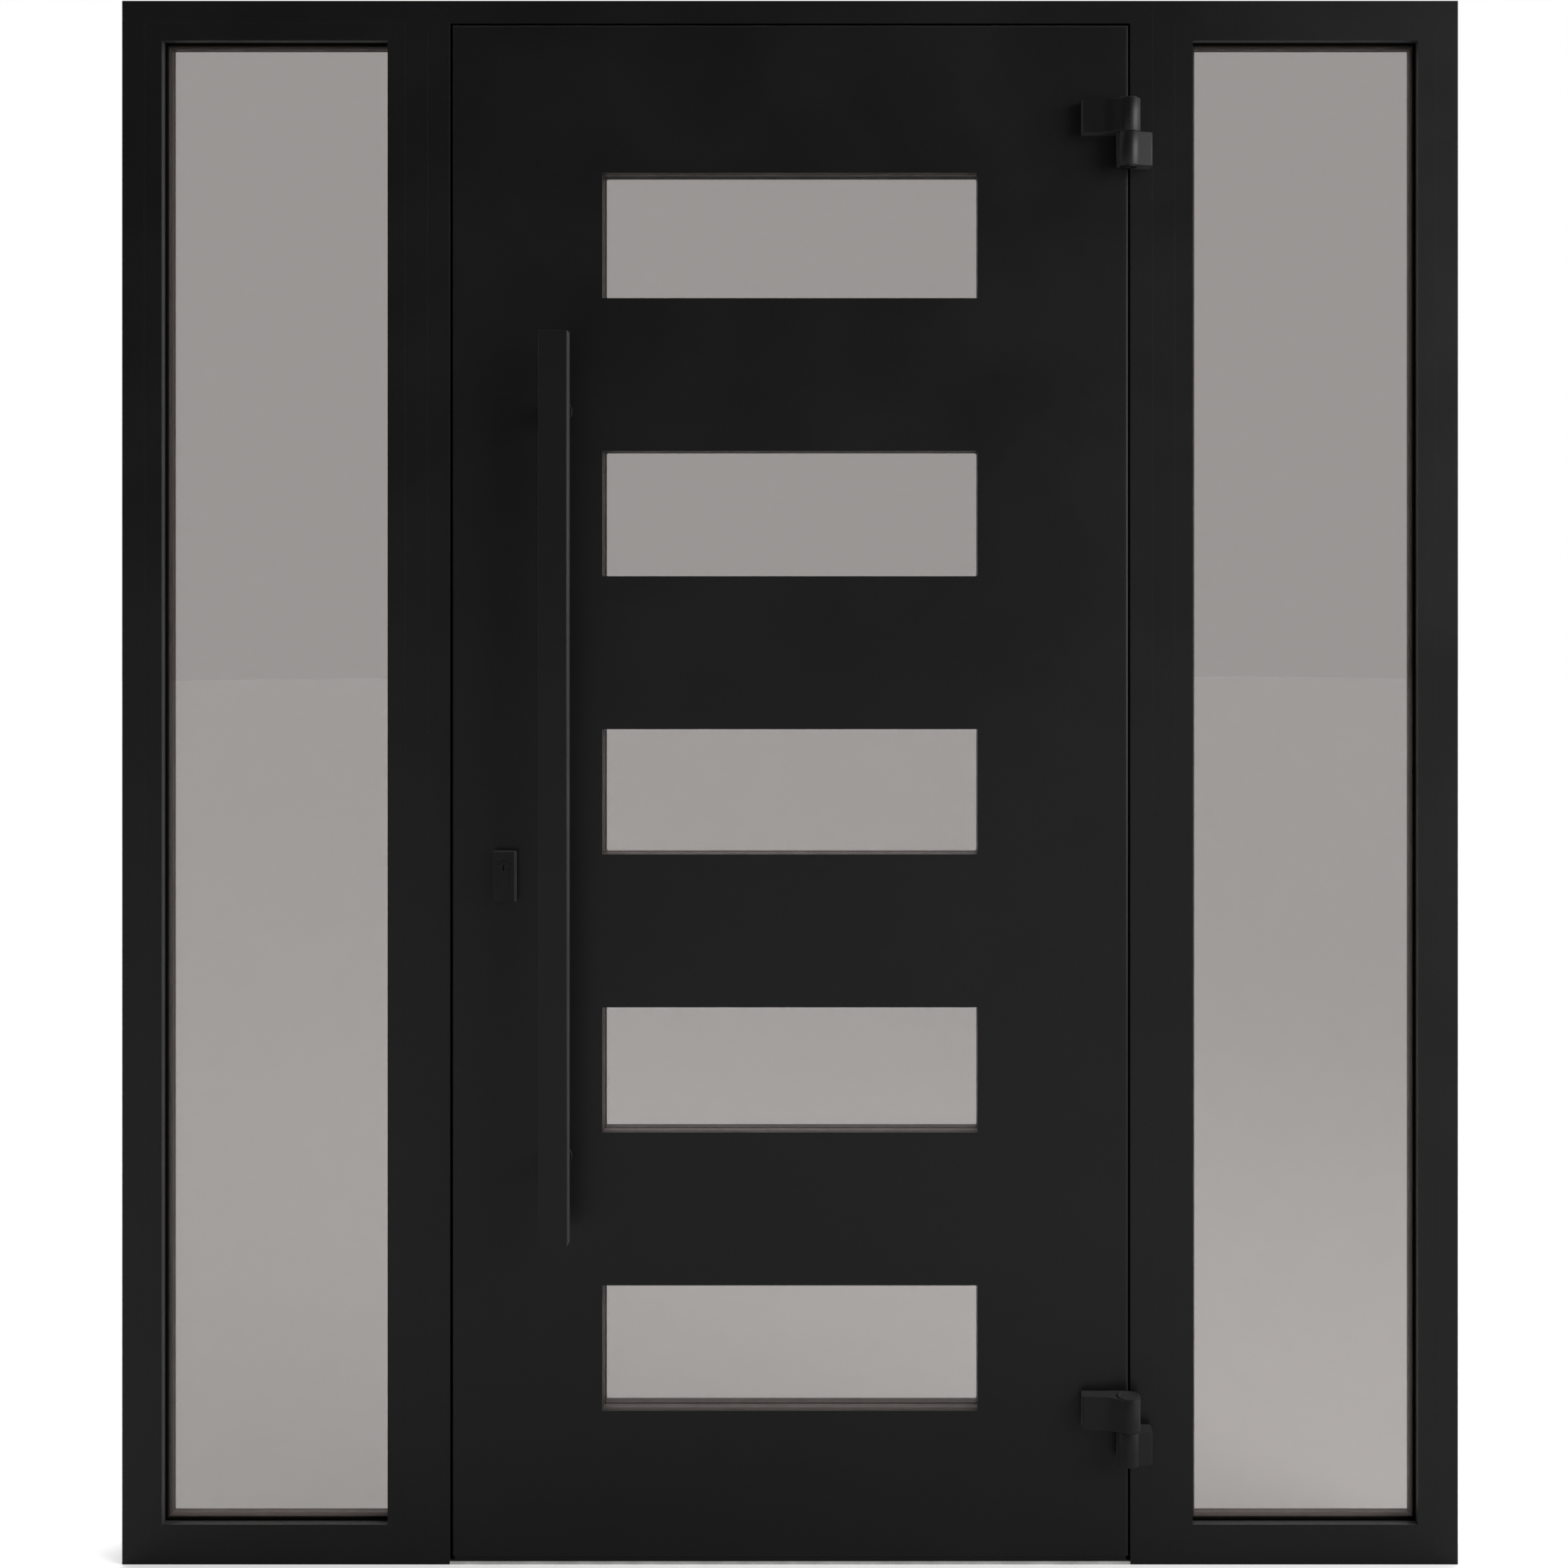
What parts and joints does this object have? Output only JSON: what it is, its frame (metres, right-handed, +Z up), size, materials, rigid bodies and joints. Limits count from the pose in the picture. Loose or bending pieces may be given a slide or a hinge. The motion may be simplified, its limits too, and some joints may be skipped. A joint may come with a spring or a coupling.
{
  "type": "aluminium entrance door with glazed sidelights",
  "caption": "Black aluminium entrance door: outward-opening flush leaf with horizontal lights, long pull bar, profile cylinder and barrel hinges, between glazed sidelights.",
  "frame": {"origin": "centre of the threshold's underside: floor level, middle of the width and of the frame's depth", "axes": "+X to the right seen from outside, +Y into the building (the outside face looks along -Y), +Z up"},
  "size_m": [1.794, 0.191, 2.1],
  "materials": {
    "black_powder_coat": "matte",
    "mill_aluminium": "satin",
    "clear_glass": "gloss",
    "black_rubber": "matte",
    "warm_grey_spacer": "matte",
    "brown_trim": "matte",
    "blackened_steel": "satin",
    "foam_core": "matte",
    "stainless_steel": "satin"
  },
  "bodies": {
    "frame": {"door_frame_jamb_left": "black_powder_coat", "door_frame_jamb_right": "black_powder_coat", "door_frame_head": "black_powder_coat", "threshold": "mill_aluminium", "rebate_seal": "black_rubber", "strike_plate": "stainless_steel", "left_sidelight_outer_jamb": "black_powder_coat", "left_sidelight_inner_jamb": "black_powder_coat", "left_sidelight_head": "black_powder_coat", "left_sidelight_sill": "black_powder_coat", "left_sidelight_upright_beads": "black_powder_coat", "left_sidelight_cross_beads": "black_powder_coat", "left_sidelight_glass": "clear_glass", "left_sidelight_spacer": "warm_grey_spacer", "left_sidelight_gaskets": "black_rubber", "right_sidelight_outer_jamb": "black_powder_coat", "right_sidelight_inner_jamb": "black_powder_coat", "right_sidelight_head": "black_powder_coat", "right_sidelight_sill": "black_powder_coat", "right_sidelight_upright_beads": "black_powder_coat", "right_sidelight_cross_beads": "black_powder_coat", "right_sidelight_glass": "clear_glass", "right_sidelight_spacer": "warm_grey_spacer", "right_sidelight_gaskets": "black_rubber", "lower_hinge_frame_wing": "black_powder_coat", "upper_hinge_frame_wing": "black_powder_coat", "hinge_pins": "blackened_steel"},
    "leaf": {"lower_hinge_leaf_wing": "black_powder_coat", "upper_hinge_leaf_wing": "black_powder_coat", "hinge_caps": "black_powder_coat", "leaf_face_sheet": "black_powder_coat", "leaf_back_sheet": "black_powder_coat", "leaf_lock_stile": "black_powder_coat", "leaf_hinge_stile": "black_powder_coat", "leaf_top_rail": "black_powder_coat", "leaf_bottom_rail": "black_powder_coat", "leaf_upright_beads": "black_powder_coat", "leaf_cross_beads": "black_powder_coat", "pull_bar": "black_powder_coat", "pull_bar_end_caps": "black_powder_coat", "pull_bar_posts": "black_powder_coat", "escutcheon": "black_powder_coat", "lock_cylinder": "black_powder_coat", "inside_plate": "black_powder_coat", "inside_lever": "black_powder_coat", "leaf_light_rims": "brown_trim", "leaf_core": "foam_core", "leaf_light_spacers": "warm_grey_spacer", "mortise_lock": "stainless_steel", "leaf_light_1": "clear_glass", "leaf_light_2": "clear_glass", "leaf_light_3": "clear_glass", "leaf_light_4": "clear_glass", "leaf_light_5": "clear_glass"}
  },
  "joints": [
    {"name": "leaf_swing", "type": "hinge", "parent": "frame", "child": "leaf", "pos_m": [0.452, -0.055, 1.05], "axis": [0, 0, 1], "range_deg": [0, 110]}
  ]
}
